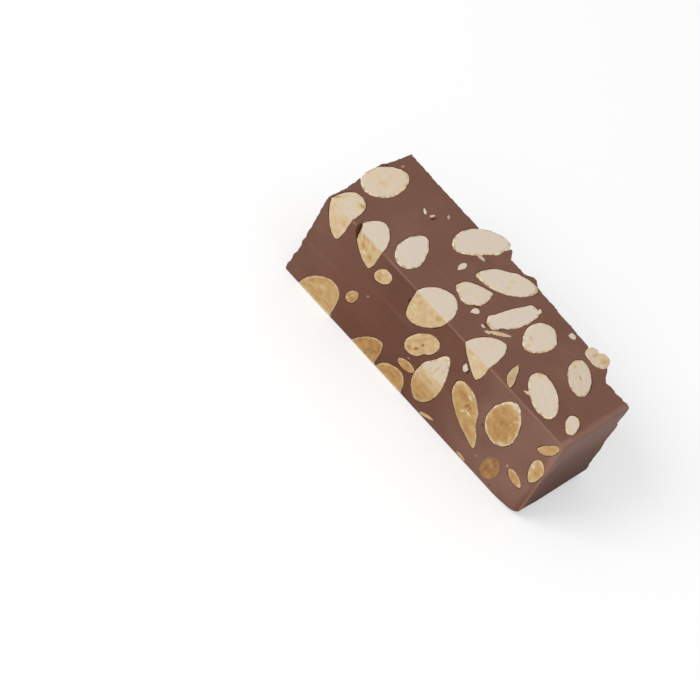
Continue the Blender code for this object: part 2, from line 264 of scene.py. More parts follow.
FRONT_MARKS = {
    "almond_front_01": [
        # The first two marks, pale and raised, are painted highlights.
        (24.6, 15.0, 2.4, 1.2, 65, -0.22, -0.06), (23.3, 12.4, 1.6, 1.0, 60, -0.28, -0.06),
        (24.8, 12.6, 1.0, 1.4, 10, 0.14, 0.10),
    ],
    "almond_front_02": [
        (29.4, 32.6, 2.0, 1.8, 40, -0.22, -0.08), (28.8, 29.2, 2.4, 1.8, 20, 0.16, 0.10),
        (31.4, 31.0, 2.0, 1.2, 60, -0.10, 0), (30.4, 30.2, 0.8, 1.4, 0, -0.20, -0.05),
    ],
    "almond_front_03": [
        # The dark marks at 52.6 and 54.0 across lie in deep dents, and their dark colour is partly painted
        # shade in the pits. The pale raised lines at 57.8 and 54.6 across are painted highlights.
        (50.3, 17.7, 2.6, 2.0, 20, 0.46, 0.14), (52.6, 19.6, 2.6, 1.0, 62, 0.66, 0.34),
        (54.0, 23.0, 1.8, 1.0, 70, 0.58, 0.30), (57.8, 27.6, 2.8, 1.2, 60, -0.16, -0.06),
        (54.6, 25.0, 11.0, 0.6, 58, -0.08, -0.05), (52.2, 23.6, 9.0, 0.6, 58, 0.10, 0.06),
    ],
    "almond_front_04": [
        (52.6, 11.0, 5.4, 1.0, 14, 0.14, 0.06), (54.6, 11.8, 2.0, 1.0, 14, -0.14, 0),
    ],
    "almond_front_05": [
        (61.3, 20.4, 8.0, 0.9, 78, -0.12, -0.10), (63.9, 21.4, 9.0, 1.1, 86, -0.12, -0.12),
        (65.3, 19.0, 6.0, 0.8, 98, -0.08, -0.08), (62.6, 20.0, 7.0, 0.8, 80, 0.24, 0.20),
        (60.5, 18.2, 3.6, 0.7, 76, 0.22, 0.16), (64.8, 21.8, 5.0, 0.6, 95, 0.18, 0.14),
        (63.4, 26.6, 2.2, 1.6, 80, 0.22, 0.05), (58.6, 12.8, 2.4, 0.8, -20, -0.12, 0),
        (62.2, 14.2, 9.0, 0.9, 4, 0.10, 0.04), (62.0, 11.0, 8.6, 0.8, -3, 0.10, 0.04),
        (61.6, 8.0, 7.0, 0.8, 2, -0.08, -0.03), (61.8, 5.4, 4.6, 2.0, 0, 0.10, 0),
    ],
    "almond_front_06": [
        # The pale raised marks at 77.2, 77.3 and 79.4 across are painted glints. The dark marks at 77.7 and
        # 79.0 across lie in deep dents, and their dark colour is partly painted shade in the pits.
        (74.4, 21.2, 6.4, 4.6, -40, 0.20, 0), (77.2, 22.8, 2.2, 1.6, -20, -0.60, -0.14),
        (75.6, 24.3, 2.8, 0.8, 5, -0.20, -0.06), (77.7, 18.8, 3.2, 1.1, 70, 0.52, 0.40),
        (79.0, 19.2, 1.8, 0.9, -30, 0.44, 0.30), (77.3, 16.0, 2.2, 1.1, 50, -0.55, -0.12),
        (79.4, 17.1, 3.2, 1.2, -12, -0.55, -0.12), (83.3, 14.0, 1.2, 2.0, 20, -0.16, 0),
        (73.8, 18.4, 2.0, 1.6, -50, -0.14, 0), (85.6, 10.4, 3.0, 1.4, -55, -0.12, 0),
    ],
    "almond_front_07": [
        # The pale marks around the rim are painted glints.
        (87.2, 18.9, 3.0, 1.1, -52, -0.40, -0.12), (93.8, 18.8, 3.4, 1.0, 38, -0.42, -0.12),
        (90.4, 16.6, 3.4, 0.9, 0, -0.34, -0.08), (95.6, 23.4, 1.0, 4.6, 0, -0.30, -0.08),
        (86.0, 24.6, 0.9, 4.0, 10, -0.30, -0.08), (94.2, 30.6, 1.0, 3.4, -35, -0.34, -0.08),
        (91.1, 34.8, 3.0, 2.2, 0, -0.24, 0), (88.2, 29.6, 1.6, 0.9, 40, -0.24, -0.08),
        (90.9, 24.6, 5.0, 6.4, 0, 0.10, 0), (86.6, 20.6, 1.2, 0.6, -60, 0.30, 0.20),
    ],
    "almond_front_08": [
        (107.4, 31.6, 3.6, 0.9, 55, -0.12, -0.04),
    ],
    "almond_front_09": [
        # The first two marks, pale and raised, are painted glints.
        (107.3, 22.6, 1.8, 1.8, 0, -0.44, -0.08), (107.5, 19.2, 1.4, 2.0, 10, -0.28, -0.10),
        (108.9, 21.0, 1.0, 1.6, 10, 0.18, 0.12), (108.6, 17.4, 1.4, 1.4, 0, 0.16, 0),
        (109.6, 23.8, 1.6, 2.0, 0, 0.14, 0),
    ],
    "almond_front_10": [
        (106.8, 11.7, 1.5, 1.0, -20, -0.42, -0.08), (103.6, 12.8, 3.0, 1.0, -20, 0.12, 0.05),
    ],
    "almond_edge_01": [
        (8.9, 34.8, 3.6, 3.0, 60, 0.16, 0), (7.4, 29.4, 3.0, 2.4, 30, 0.16, 0),
        (4.4, 36.8, 3.0, 2.2, 80, -0.12, 0), (5.6, 32.8, 2.0, 3.4, 30, 0.10, 0.05),
        (10.2, 32.0, 1.4, 3.0, 0, -0.12, -0.06),
    ],
    "almond_edge_02": [
        # The first mark, pale and raised, is a painted glint.
        (20.0, 32.4, 4.0, 1.1, 22, -0.26, -0.12), (18.5, 34.6, 3.0, 2.2, -40, 0.30, 0.10),
        (22.6, 32.6, 2.4, 3.0, 20, 0.26, 0.08), (22.4, 37.0, 0.8, 2.0, 10, 0.18, 0.10),
        (23.9, 30.2, 2.0, 1.0, 30, -0.22, -0.08), (19.6, 37.0, 5.0, 0.6, -62, 0.16, 0.10),
        (21.2, 36.0, 6.0, 0.6, -62, -0.10, -0.06), (17.4, 37.2, 3.6, 0.9, -60, 0.34, 0.12),
    ],
    "almond_edge_03": [
        # The first mark, pale and raised, is a painted glint.
        (44.5, 32.9, 3.0, 0.9, -5, -0.24, -0.12), (45.6, 35.6, 3.4, 1.3, 65, 0.26, 0.12),
        (53.6, 36.8, 3.4, 2.8, 50, 0.24, 0), (43.5, 37.0, 3.0, 1.4, 70, 0.20, 0.06),
        (48.6, 33.6, 5.0, 2.2, -15, 0.12, 0), (49.0, 36.6, 3.0, 1.2, 80, -0.10, -0.06),
        (51.8, 30.8, 4.6, 0.8, 52, -0.14, -0.06), (47.0, 30.0, 1.2, 0.9, 0, 0.18, 0.10),
    ],
    "almond_edge_04": [
        # The first mark, pale and raised, is a painted glint.
        (71.3, 33.3, 2.8, 0.9, -32, -0.14, -0.08), (73.1, 34.4, 1.3, 0.9, 0, 0.20, 0.10),
        (68.6, 37.4, 3.0, 2.4, 0, 0.12, 0), (74.6, 36.8, 1.2, 4.0, 5, 0.08, 0),
        (70.6, 36.4, 1.2, 0.9, 0, -0.12, -0.05),
    ],
    "almond_edge_05": [
        (14.4, 10.8, 6.0, 2.0, 10, 0.16, 0), (14.6, 7.2, 5.0, 2.6, 30, -0.14, 0),
        (14.0, 3.2, 12.0, 0.7, 0, 0.12, 0.05), (13.6, 1.8, 12.0, 0.6, 1, 0.10, 0.05),
        (9.4, 5.4, 5.0, 0.9, 58, 0.18, 0.06),
    ],
    "almond_edge_06": [
        # The first mark, pale and raised, is a painted glint.
        (40.8, 8.6, 1.4, 1.0, 60, -0.30, -0.10), (38.4, 6.4, 2.0, 1.4, 40, 0.16, 0.08),
        (41.4, 4.6, 1.2, 3.0, 0, 0.12, 0),
    ],
    "almond_edge_07": [
        (52.0, 5.6, 3.0, 1.6, -10, 0.12, 0), (49.6, 2.8, 6.0, 0.8, 4, 0.10, 0.05),
        (50.8, 0.9, 8.0, 0.6, 0, -0.10, 0),
    ],
}

# Where an outline departs from a plain almond: a place on it, how far around
# that place it changes, and the move.
NUDGES = {
    "almond_top_03": [(45.2, 37.4, 4.0, 0.6, -0.3)],
    "almond_top_04": [(47.8, 24.6, 2.6, -0.2, -0.4), (51.6, 35.8, 4.0, 0.4, -0.4)],
    "almond_top_05": [(48.0, 13.8, 2.8, -0.7, -0.3), (56.8, 13.2, 3.0, -0.5, 0.9),
                      (55.4, 23.6, 2.0, 0.3, 0.4)],
    "almond_top_07": [(80.2, 31.8, 3.6, -0.3, -0.6)],
    "almond_top_09": [(96.0, 2.6, 4.0, 0.0, -0.3)],
    "almond_top_06": [(61.9, 15.8, 2.2, -0.7, -0.1), (66.2, 13.4, 3.0, 0.6, -0.8),
                      (65.8, 32.4, 2.2, -0.5, 0.3), (69.8, 31.6, 2.4, 0.5, 0.3)],
    "almond_top_12": [(91.4, 41.4, 1.5, 0.1, -1.3), (91.6, 34.8, 3.0, 0.2, 0.3)],
    "almond_front_03": [(56.8, 19.6, 3.4, -0.4, 0.5)],
    "almond_front_05": [(60.0, 23.0, 5.0, 0.5, -0.2)],
    "almond_front_06": [(85.0, 16.0, 4.6, -0.7, -0.4), (72.0, 23.6, 3.0, -0.1, 0.3)],
    "almond_front_09": [(111.2, 23.4, 2.2, 0.4, 0.1)],
}


def marked(marks, across, up):
    """How much darker and deeper the marks make each place."""
    tone = np.zeros(np.shape(across))
    dent = np.zeros(np.shape(across))
    for mark in map(Mark._make, marks):
        turn = math.radians(mark.angle)
        x = (across - mark.across) * math.cos(turn) + (up - mark.up) * math.sin(turn)
        y = (up - mark.up) * math.cos(turn) - (across - mark.across) * math.sin(turn)
        weight = bump(np.hypot(x / mark.length, y / mark.width), 0.0, 0.62)
        tone = tone + mark.tone * weight
        dent = dent + mark.dent * weight
    return tone, dent


def nudged(ring, node):
    moved = ring.copy()
    for across, up, around, move_across, move_up in NUDGES.get(node, ()):
        weight = bump(np.hypot(ring[:, 0] - across, ring[:, 1] - up), 0.0, around)
        moved += weight[:, None] * np.array((move_across, move_up))
    return moved


# Cut almonds

RIM_POINTS = 120
FACE_RINGS = tuple(np.linspace(0.04, 0.92, 23)) + (0.95, 0.975, 0.99)
RIM_DROP = 0.16
CREASE = 0.12
CREASE_MORE = 0.32
HIDDEN_CREASE_MORE = 0.14
FILMED_CREASE = 0.0
FILMED_DROP = 0.05
LIFT = 0.9
SINK = 0.06
WOBBLE = 0.14
FACE_RELIEF = 0.05
FILMED = "almond_front_11"


def outline_of(face, node):
    """The node's cut outline on a face, smoothed, and its depth."""
    local = off_face(face, node_points(node))
    flat = local[np.abs(local[:, 2]) < ON_FACE][:, :2]
    middle = flat.mean(axis=0)
    order = np.argsort(np.arctan2(flat[:, 1] - middle[1], flat[:, 0] - middle[0]))
    return closed_curve(flat[order], RIM_POINTS), local[:, 2].max()


def sideways(line):
    """Which way is out, at each point of an open outline."""
    along = np.gradient(line, axis=0)
    side = np.stack((-along[:, 1], along[:, 0]), axis=-1)
    return side / np.linalg.norm(side, axis=1)[:, None]


def outward(ring):
    along = np.roll(ring, -1, axis=0) - np.roll(ring, 1, axis=0)
    side = np.stack((along[:, 1], -along[:, 0]), axis=-1)
    return side / np.linalg.norm(side, axis=1)[:, None]


def ring_noise(count, lumps, seed):
    turn = np.linspace(0.0, 2.0 * math.pi, count, endpoint=False)
    circle = np.stack((np.cos(turn), np.sin(turn), np.zeros(count)), axis=-1) * lumps
    return rough(circle, 1.0, seed)


def uneven(ring, seed, amount):
    """An outline with the small unevenness of a real nut."""
    return ring + outward(ring) * (amount * ring_noise(len(ring), 2.2, seed)
                                   + 0.4 * amount * ring_noise(len(ring), 6.0, seed + 40))[:, None]


def loft(face, centre, rings, tip):
    """Points and faces of a closed body: centre point, rings, then a tip."""
    count = len(rings[0][0])
    points = [on_face(face, *centre)]
    for ring, inward in rings:
        points.append(on_face(face, ring[:, 0], ring[:, 1], inward))
    points.append(on_face(face, *tip))
    points = np.vstack([np.atleast_2d(p) for p in points])
    faces = []
    for n in range(count):
        faces.append((0, 1 + n, 1 + (n + 1) % count))
    for k in range(len(rings) - 1):
        base = 1 + k * count
        for n in range(count):
            m = (n + 1) % count
            faces.append((base + n, base + count + n, base + count + m, base + m))
    base = 1 + (len(rings) - 1) * count
    for n in range(count):
        faces.append((base + n, len(points) - 1, base + (n + 1) % count))
    return points, faces


def grain_places(across, up, angle, seed):
    """Places along and across an almond's grain, for its fibres."""
    turn = math.radians(angle)
    along = across * math.cos(turn) + up * math.sin(turn)
    side = up * math.cos(turn) - across * math.sin(turn)
    return np.stack((along, side, np.full(np.shape(along), 7.0 * seed)), axis=-1)


def long_angle(ring):
    """The direction of an outline's long axis, in degrees."""
    spread_out = np.cov((ring - ring.mean(axis=0)).T)
    values, directions = np.linalg.eigh(spread_out)
    long = directions[:, np.argmax(values)]
    return math.degrees(math.atan2(long[1], long[0]))


Nut = namedtuple("Nut", "points faces rim tone film grain pocket")


def cut_almond(face, node, seed, base, film):
    """An almond sliced by one face, with the pocket that it lies in."""
    ring, depth = outline_of(face, node)
    ring = nudged(uneven(ring, seed, WOBBLE), node)
    middle = ring.mean(axis=0)
    marks = (TOP_MARKS if face == "top" else FRONT_MARKS if face == "front" else {}).get(node, ())
    rings = []
    where = []
    rim_drop = FILMED_DROP if node == FILMED else RIM_DROP
    for f in FACE_RINGS:
        spot = middle + (ring - middle) * f
        relief = FACE_RELIEF * rough(np.c_[spot, np.full(len(spot), seed)], 2.5, seed)
        _, dent = marked(marks, spot[:, 0], spot[:, 1])
        drop = rim_drop * float(smooth(f, 0.93, 1.0))
        rings.append((spot, np.maximum(SINK + relief * (1.0 - f) + drop + dent, 0.0)))
        where.append(f)
    rings.append((ring, SINK + rim_drop))
    where.append(1.0)
    rings.append((ring, SINK + 0.6))
    for deep, scale in ((0.5, 0.94), (0.75, 0.80), (0.92, 0.5)):
        rings.append((middle + (ring - middle) * scale, SINK + deep * (depth - SINK)))
    where += [1.0] * 4
    points, faces = loft(face, (*middle, SINK), rings, (*middle, depth - 0.02))
    rim = np.concatenate(([0.0], np.repeat(where, len(ring)), [1.0]))
    local = off_face(face, points)
    change, _ = marked(marks, local[:, 0], local[:, 1])
    tone = tone_here(node, base, local, rim) + change
    grain = grain_places(local[:, 0], local[:, 1], long_angle(ring), seed)
    if node == "almond_front_05":
        crossed = grain_places(local[:, 0], local[:, 1], 0.0, seed)
        grain = np.where((local[:, 1] < 16.0)[:, None], crossed, grain)
    veil = np.full(len(rim), film)
    least, more = CREASE, CREASE_MORE if face in ("top", "front") else HIDDEN_CREASE_MORE
    if node == FILMED:
        veil = film + (1.0 - film) * smooth(rim, 0.72, 1.0)
        least, more = FILMED_CREASE, 0.0

    gap = least + more * (0.5 + 0.5 * ring_noise(len(ring), 1.6, seed + 80)) ** 2
    wide = ring + outward(ring) * gap[:, None]
    shell = [(wide, -LIFT), (wide, 0.9)]
    for deep, scale in ((0.55, 0.97), (0.8, 0.84), (0.96, 0.54)):
        shell.append((middle + (wide - middle) * scale, deep * depth + 0.15))
    pocket = loft(face, (*middle, -LIFT), shell, (*middle, depth + 0.25))
    return Nut(points, faces, smooth(rim, 0.84, 1.0), tone, veil, grain, pocket)


def edge_place(edge, u, over_a, over_b):
    u, over_a, over_b = np.broadcast_arrays(*[np.asarray(x, dtype=float) for x in (u, over_a, over_b)])
    if edge == "upper":
        return np.stack((u, over_a, BAR_HEIGHT - over_b), axis=-1)
    return np.stack((u, over_b, over_a), axis=-1)


EDGE_POINTS = 84
EDGE_ROWS = 40
EDGE_STEPS = 8
EDGE_WOBBLE = 0.16
POCKET_STEPS = 6

# Beside the second edge almond the chocolate has come away, which leaves a
# dark hollow. It is this wide at the edge and runs this far over each face.
HOLLOW_NODE = "almond_edge_02"
HOLLOW_WIDE = 2.3
HOLLOW_OVER_TOP = 2.7
HOLLOW_OVER_FRONT = 4.6
UPPER_EDGE = ("almond_edge_01", "almond_edge_02", "almond_edge_03", "almond_edge_04")
EDGE_GRAIN = {"almond_edge_02": -62.0, "almond_edge_03": 60.0, "almond_edge_05": 0.0}


def edge_almond(edge, node, seed, tones):
    """An almond sliced by two faces that meet at an edge of the bar."""
    bar = node_points(node)
    if edge == "upper":
        local = np.stack((bar[:, 0], bar[:, 1], BAR_HEIGHT - bar[:, 2]), axis=-1)
    else:
        local = np.stack((bar[:, 0], bar[:, 2], bar[:, 1]), axis=-1)
    over_a = local[np.abs(local[:, 2]) < ON_FACE][:, :2]
    over_b = local[np.abs(local[:, 1]) < ON_FACE][:, (0, 2)]
    start = local[:, 0][(np.abs(local[:, 1]) < ON_FACE) & (np.abs(local[:, 2]) < ON_FACE)]
    lines = []
    for part in (over_a, over_b):
        middle = ((start.min() + start.max()) / 2.0, 0.35 * part[:, 1].max())
        turn = np.arctan2(part[:, 1] - middle[1], middle[0] - part[:, 0])
        turn = np.where(turn < -math.pi / 2.0, turn + 2.0 * math.pi, turn)
        line = open_curve(part[np.argsort(turn)], EDGE_POINTS)
        wobble = rough(np.c_[line, np.zeros(len(line))], 3.0, seed)
        fade = np.sin(np.linspace(0.0, math.pi, EDGE_POINTS)) ** 0.5
        lines.append(line + sideways(line) * (EDGE_WOBBLE * wobble * fade)[:, None])
    pocket = edge_pocket(edge, lines, seed)
    if node == HOLLOW_NODE:
        lines = [hollowed(lines[0], HOLLOW_OVER_TOP), hollowed(lines[1], HOLLOW_OVER_FRONT)]
    return edge_body(edge, node, lines, seed, tones, pocket)


def hollowed(line, reach):
    """The almond's outline, drawn back from the hollow beside its start."""
    back = np.clip(1.0 - line[:, 1] / reach, 0.0, 1.0) ** 0.8
    first_half = np.arange(len(line)) < len(line) // 2
    moved = line.copy()
    moved[:, 0] += np.where(first_half, HOLLOW_WIDE * back, 0.0)
    return moved


def edge_body(edge, node, lines, seed, tones, pocket):
    """Two flat cut faces from the edge to their curves, and a round inside."""
    line_a, line_b = lines
    ends = np.linspace(line_a[0], line_a[-1], EDGE_POINTS)[:, 0]
    rows = np.linspace(0.0, 1.0, EDGE_ROWS) ** 0.8
    points = []
    rim = []
    tone = []
    grain = []
    faces = []
    upper = edge == "upper"
    marks_a = TOP_MARKS.get(node, ()) if upper else FRONT_MARKS.get(node, ())
    marks_b = FRONT_MARKS.get(node, ()) if upper else ()

    def grid(block):
        """Adds rows of points and returns their numbers."""
        first = sum(len(p) for p in points)
        points.extend(block)
        starts = (first + r * EDGE_POINTS for r in range(len(block)))
        return [list(range(start, start + EDGE_POINTS)) for start in starts]

    def skin(table):
        for low, high in zip(table[:-1], table[1:]):
            for n in range(EDGE_POINTS - 1):
                faces.append((low[n], low[n + 1], high[n + 1], high[n]))

    def face_rows(line, over_b):
        block = []
        for f in rows:
            u = ends + (line[:, 0] - ends) * f
            r = line[:, 1] * f
            side = np.minimum(np.linspace(0, 1, EDGE_POINTS), np.linspace(1, 0, EDGE_POINTS))
            near = np.minimum((1.0 - f) * np.maximum(line[:, 1], 0.1), 40.0 * side)
            drop = SINK + RIM_DROP * (1.0 - smooth(near, 0.0, 0.5))
            height = BAR_HEIGHT - r if upper and over_b else r
            change, dent = marked(marks_b if over_b else marks_a, u, height)
            fade = smooth(r, 0.0, 0.6)
            drop = drop + fade * (dent + 0.04 * rough(np.c_[u, r, np.full(len(u), 3.0 * over_b)], 2.2, seed))
            drop = np.maximum(drop, 0.0)
            r = np.maximum(r, drop)
            block.append(edge_place(edge, u, drop, r) if over_b else edge_place(edge, u, r, drop))
            rim.append(np.where(near < 0.8, 1.0 - near / 0.8, 0.0))
            pale_line = -0.12 * (1.0 - smooth(r, 0.2, 0.7)) if upper else -0.22 * (1.0 - smooth(r, 0.4, 1.2))
            tone.append(tones[1 if over_b else 0] + change + pale_line)
            turn = EDGE_GRAIN.get(node, 90.0) if over_b == upper else 90.0
            grain.append(grain_places(u, height, turn, seed + 3 * over_b))
        return block

    skin(grid(face_rows(line_a, False)))
    skin(grid(face_rows(line_b, True)))
    under = []
    for step in range(EDGE_STEPS + 1):
        mix = step / EDGE_STEPS
        phi = 0.5 * math.pi * mix
        u = line_a[:, 0] * (1.0 - mix) + line_b[:, 0] * mix
        r = line_a[:, 1] * (1.0 - mix) + line_b[:, 1] * mix
        a = np.maximum(r * math.cos(phi), SINK + RIM_DROP)
        b = np.maximum(r * math.sin(phi), SINK + RIM_DROP)
        under.append(edge_place(edge, u, a, b))
        rim.append(np.ones(EDGE_POINTS))
        tone.append(np.full(EDGE_POINTS, tones[1] + 0.2))
        grain.append(grain_places(u, r, 90.0, seed))
    skin(grid(under))
    points = np.vstack(points)
    film = np.zeros(len(points))
    return Nut(points, faces, np.concatenate(rim), np.concatenate(tone), film, np.vstack(grain), pocket)


def edge_pocket(edge, lines, seed):
    """A closed cutter around an edge almond, open to both faces."""
    wide = []
    for k, line in enumerate(lines):
        uneven_by = rough(np.c_[line, np.zeros(len(line))], 3.5, seed + 9 + k)
        gap = CREASE + CREASE_MORE * (0.5 + 0.5 * uneven_by) ** 2
        grown = line + sideways(line) * gap[:, None]
        grown[0] = (line[0][0] - 0.25, 0.0)
        grown[-1] = (line[-1][0] + 0.25, 0.0)
        grown[1:-1, 1] = np.maximum(grown[1:-1, 1], 0.02)
        wide.append(grown)
    a, b = wide
    count = len(a)
    points = [edge_place(edge, a[:, 0], np.where(a[:, 1] < 0.01, -LIFT, a[:, 1]), -LIFT)]
    for step in range(POCKET_STEPS + 1):
        mix = step / POCKET_STEPS
        phi = 0.5 * math.pi * mix
        u = a[:, 0] * (1.0 - mix) + b[:, 0] * mix
        r = a[:, 1] * (1.0 - mix) + b[:, 1] * mix
        points.append(edge_place(edge, u, r * math.cos(phi), r * math.sin(phi)))
    points.append(edge_place(edge, b[:, 0], -LIFT, np.where(b[:, 1] < 0.01, -LIFT, b[:, 1])))
    faces = []
    for k in range(len(points) - 1):
        for n in range(count - 1):
            low = k * count + n
            faces.append((low, low + 1, low + count + 1, low + count))
    last = (len(points) - 1) * count
    faces.append(tuple(range(count)))
    faces.append(tuple(range(last + count - 1, last - 1, -1)))
    return np.vstack(points), faces


# Materials

RELIEF_DEPTH = 0.0002

CHOCOLATE = (
    (0.00, (0.098, 0.038, 0.023, 1)),
    (0.30, (0.144, 0.054, 0.031, 1)),
    (0.60, (0.174, 0.076, 0.049, 1)),
    (1.00, (0.275, 0.146, 0.106, 1)),
)
STREAK = (0.225, 0.112, 0.076, 1)
BURR = (0.275, 0.138, 0.090, 1)

# Tone runs from blanched cream, at 0, to roasted gold, at 0.7, and on to a
# nut seen through a film of chocolate, at 1.
TONES = (
    (0.00, (0.665, 0.572, 0.478, 1)),
    (0.12, (0.680, 0.562, 0.415, 1)),
    (0.24, (0.675, 0.500, 0.285, 1)),
    (0.40, (0.585, 0.400, 0.195, 1)),
    (0.55, (0.520, 0.310, 0.115, 1)),
    (0.72, (0.440, 0.232, 0.068, 1)),
    (1.00, (0.250, 0.105, 0.036, 1)),
)
FILM = (0.186, 0.084, 0.054, 1)
SPOT = (0.40, 0.25, 0.11, 1)
# Colour of the paler rim band: partly the nut's own paler edge, partly a painted highlight along the cut
# edge.
PALE_RIM_HIGHLIGHT = (0.80, 0.63, 0.38, 1)
BROWN_RIM = (0.36, 0.21, 0.085, 1)
# The colour of painted glints: pale flecks painted on the nuts as highlights.
PAINTED_GLINT = (0.88, 0.80, 0.66, 1)


def node_tree(name):
    material = bpy.data.materials.new(name)
    material.use_nodes = True
    tree = material.node_tree
    return material, tree, tree.nodes["Principled BSDF"]


def noise_over(tree, vector, scale, size, detail):
    """Noise over a place, stretched by scale."""
    mapping = tree.nodes.new("ShaderNodeMapping")
    mapping.inputs["Scale"].default_value = scale
    tree.links.new(vector, mapping.inputs["Vector"])
    pattern = tree.nodes.new("ShaderNodeTexNoise")
    pattern.inputs["Scale"].default_value = size
    pattern.inputs["Detail"].default_value = detail
    tree.links.new(mapping.outputs["Vector"], pattern.inputs["Vector"])
    return pattern.outputs["Fac"]


def stretched_noise(tree, scale, size, detail):
    place = tree.nodes.new("ShaderNodeTexCoord")
    return noise_over(tree, place.outputs["Object"], scale, size, detail)


def even_noise(tree, size, detail):
    return stretched_noise(tree, (1, 1, 1), size, detail)


def ramp(tree, source, stops):
    node = tree.nodes.new("ShaderNodeValToRGB")
    bar = node.color_ramp
    bar.elements[0].position, bar.elements[0].color = stops[0]
    bar.elements[1].position, bar.elements[1].color = stops[-1]
    for place, colour in stops[1:-1]:
        bar.elements.new(place).color = colour
    tree.links.new(source, node.inputs["Fac"])
    return node.outputs["Color"]


def maths(tree, kind, *values):
    node = tree.nodes.new("ShaderNodeMath")
    node.operation = kind
    for socket, value in zip(node.inputs, values):
        if isinstance(value, (int, float)):
            socket.default_value = value
        else:
            tree.links.new(value, socket)
    return node.outputs["Value"]


def blend(tree, amount, a, b):
    node = tree.nodes.new("ShaderNodeMix")
    node.data_type = "RGBA"
    for socket, value in ((node.inputs[0], amount), (node.inputs[6], a), (node.inputs[7], b)):
        if isinstance(value, (int, float, tuple)):
            socket.default_value = value
        else:
            tree.links.new(value, socket)
    return node.outputs[2]


def attribute(tree, name):
    node = tree.nodes.new("ShaderNodeAttribute")
    node.attribute_name = name
    return node.outputs["Fac"]


def add_relief(tree, shader, height, strength):
    raised = tree.nodes.new("ShaderNodeBump")
    raised.inputs["Strength"].default_value = strength
    raised.inputs["Distance"].default_value = RELIEF_DEPTH
    tree.links.new(height, raised.inputs["Height"])
    tree.links.new(raised.outputs["Normal"], shader.inputs["Normal"])


def chocolate_look():
    material, tree, shader = node_tree("milk_chocolate")
    cloudy = even_noise(tree, 60.0, 4.0)
    streaks = stretched_noise(tree, (0.05, 1.0, 1.0), 700.0, 3.0)
    grain = even_noise(tree, 1400.0, 3.0)
    # The colour ramp reads the painted sheen and painted shade set on the chocolate, plus cloudy noise.
    painted_sheen_shade = maths(tree, "ADD", attribute(tree, "painted_sheen_shade"), centred(tree, cloudy, 0.6))
    base = ramp(tree, painted_sheen_shade, CHOCOLATE)
    streaked = blend(tree, maths(tree, "MULTIPLY", smooth_step(tree, streaks, 0.56, 0.76), 0.30),
                     base, STREAK)
    edged = blend(tree, attribute(tree, "burr"), streaked, BURR)
    tree.links.new(edged, shader.inputs["Base Color"])
    roughness = maths(tree, "MULTIPLY_ADD", cloudy, 0.20, 0.38)
    tree.links.new(roughness, shader.inputs["Roughness"])
    height = maths(tree, "ADD", maths(tree, "MULTIPLY", streaks, 0.7), maths(tree, "MULTIPLY", grain, 0.5))
    add_relief(tree, shader, height, 0.28)
    shader.inputs["Specular IOR Level"].default_value = 0.28
    return material


def smooth_step(tree, source, low, high):
    node = tree.nodes.new("ShaderNodeMapRange")
    node.interpolation_type = "SMOOTHSTEP"
    node.inputs["From Min"].default_value = low
    node.inputs["From Max"].default_value = high
    tree.links.new(source, node.inputs["Value"])
    return node.outputs["Result"]


def grain_noise(tree, across, size):
    """Fibres that follow each almond's own grain."""
    place = tree.nodes.new("ShaderNodeAttribute")
    place.attribute_name = "grain"
    return noise_over(tree, place.outputs["Vector"], (across, 1.0, 1.0), size, 3.0)


def centred(tree, source, amount):
    """Noise moved to lie around zero."""
    return maths(tree, "MULTIPLY", maths(tree, "SUBTRACT", source, 0.5), amount)


def almond_look():
    material, tree, shader = node_tree("almond")
    tone = attribute(tree, "tone")
    mottle = even_noise(tree, 400.0, 4.0)
    fibres = grain_noise(tree, 0.10, 1.1)
    spots = even_noise(tree, 900.0, 2.0)
    patchy = maths(tree, "MULTIPLY_ADD", tone, 0.62, 0.26)
    varied = centred(tree, mottle, patchy)
    mixed = maths(tree, "ADD", maths(tree, "ADD", tone, varied), centred(tree, fibres, 0.28))
    colour = ramp(tree, mixed, TONES)
    dark = blend(tree, maths(tree, "MULTIPLY", smooth_step(tree, spots, 0.66, 0.80), 0.30),
                 colour, SPOT)
    rim = attribute(tree, "rim")
    patches = smooth_step(tree, even_noise(tree, 640.0, 3.0), 0.46, 0.58)
    # A paler band along each rim: partly the nut's own edge, partly a painted highlight where the cut edge
    # would catch the light.
    light = blend(tree, maths(tree, "MULTIPLY", rim, 0.55), dark, PALE_RIM_HIGHLIGHT)
    skinned = blend(tree, maths(tree, "MULTIPLY", maths(tree, "MULTIPLY", rim, patches), 0.80),
                    light, BROWN_RIM)
    # Painted glints: small pale flecks, most of them along the rims, painted in as highlights.
    painted_glint_flecks = smooth_step(tree, even_noise(tree, 1150.0, 2.0), 0.60, 0.68)
    painted_glint_mask = maths(tree, "MULTIPLY", maths(tree, "MULTIPLY_ADD", rim, 0.80, 0.06), painted_glint_flecks)
    with_painted_glints = blend(tree, painted_glint_mask, skinned, PAINTED_GLINT)
    veiled = blend(tree, attribute(tree, "film"), with_painted_glints, FILM)
    tree.links.new(veiled, shader.inputs["Base Color"])
    roughness = maths(tree, "MULTIPLY_ADD", tone, -0.26, 0.58)
    tree.links.new(roughness, shader.inputs["Roughness"])
    height = maths(tree, "ADD", fibres, maths(tree, "MULTIPLY", mottle, 0.9))
    add_relief(tree, shader, height, 0.60)
    shader.inputs["Specular IOR Level"].default_value = 0.42
    return material


# The chocolate

